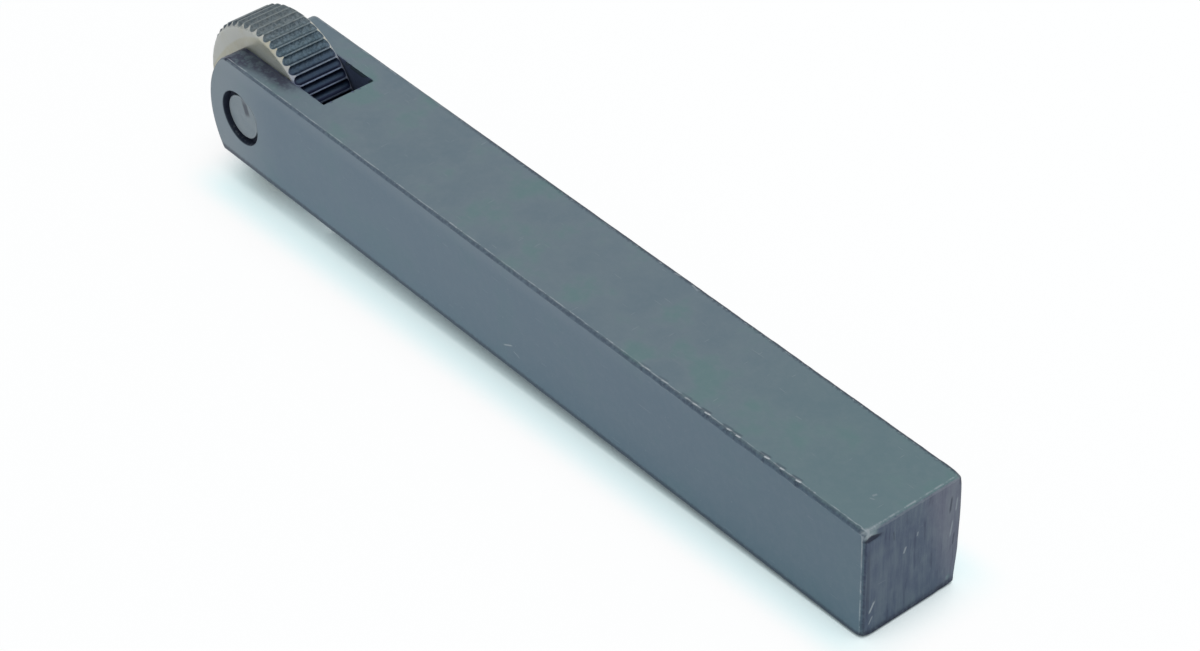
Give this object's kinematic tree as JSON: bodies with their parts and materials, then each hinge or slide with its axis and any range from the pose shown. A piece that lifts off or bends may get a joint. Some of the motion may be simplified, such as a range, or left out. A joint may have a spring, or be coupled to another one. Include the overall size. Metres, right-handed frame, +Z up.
{
  "type": "knurling tool",
  "caption": "Lathe knurling tool: a plain rectangular steel shank with a forked, round-nosed head that carries one straight-toothed knurl wheel on a staked pin.",
  "frame": {"origin": "centre of the shank's seat: on its bottom face, at mid width, half way between the tail and the end of the fork's slot", "axes": "+X along the shank from the tail to the knurl wheel, +Y across the shank along the wheel's pin, +Z up out of the shank's top face"},
  "size_m": [0.1036, 0.0118, 0.019],
  "materials": {
    "holder_steel": "chemically blackened steel, blue-grey, matt, worn brighter along its edges",
    "pin_steel": "blackened steel, ends lightly rubbed",
    "wheel_steel": "hardened tool steel, sides ground warm grey, teeth dark with bright worn lands"
  },
  "bodies": {
    "holder": {"holder": "holder_steel", "axle_pin": "pin_steel"},
    "wheel": {"knurl_wheel": "wheel_steel"}
  },
  "joints": [
    {"name": "wheel_spin", "type": "hinge", "parent": "holder", "child": "wheel", "pos_m": [0.05305, 0, 0.006], "axis": [0, 1, 0], "continuous": true}
  ]
}
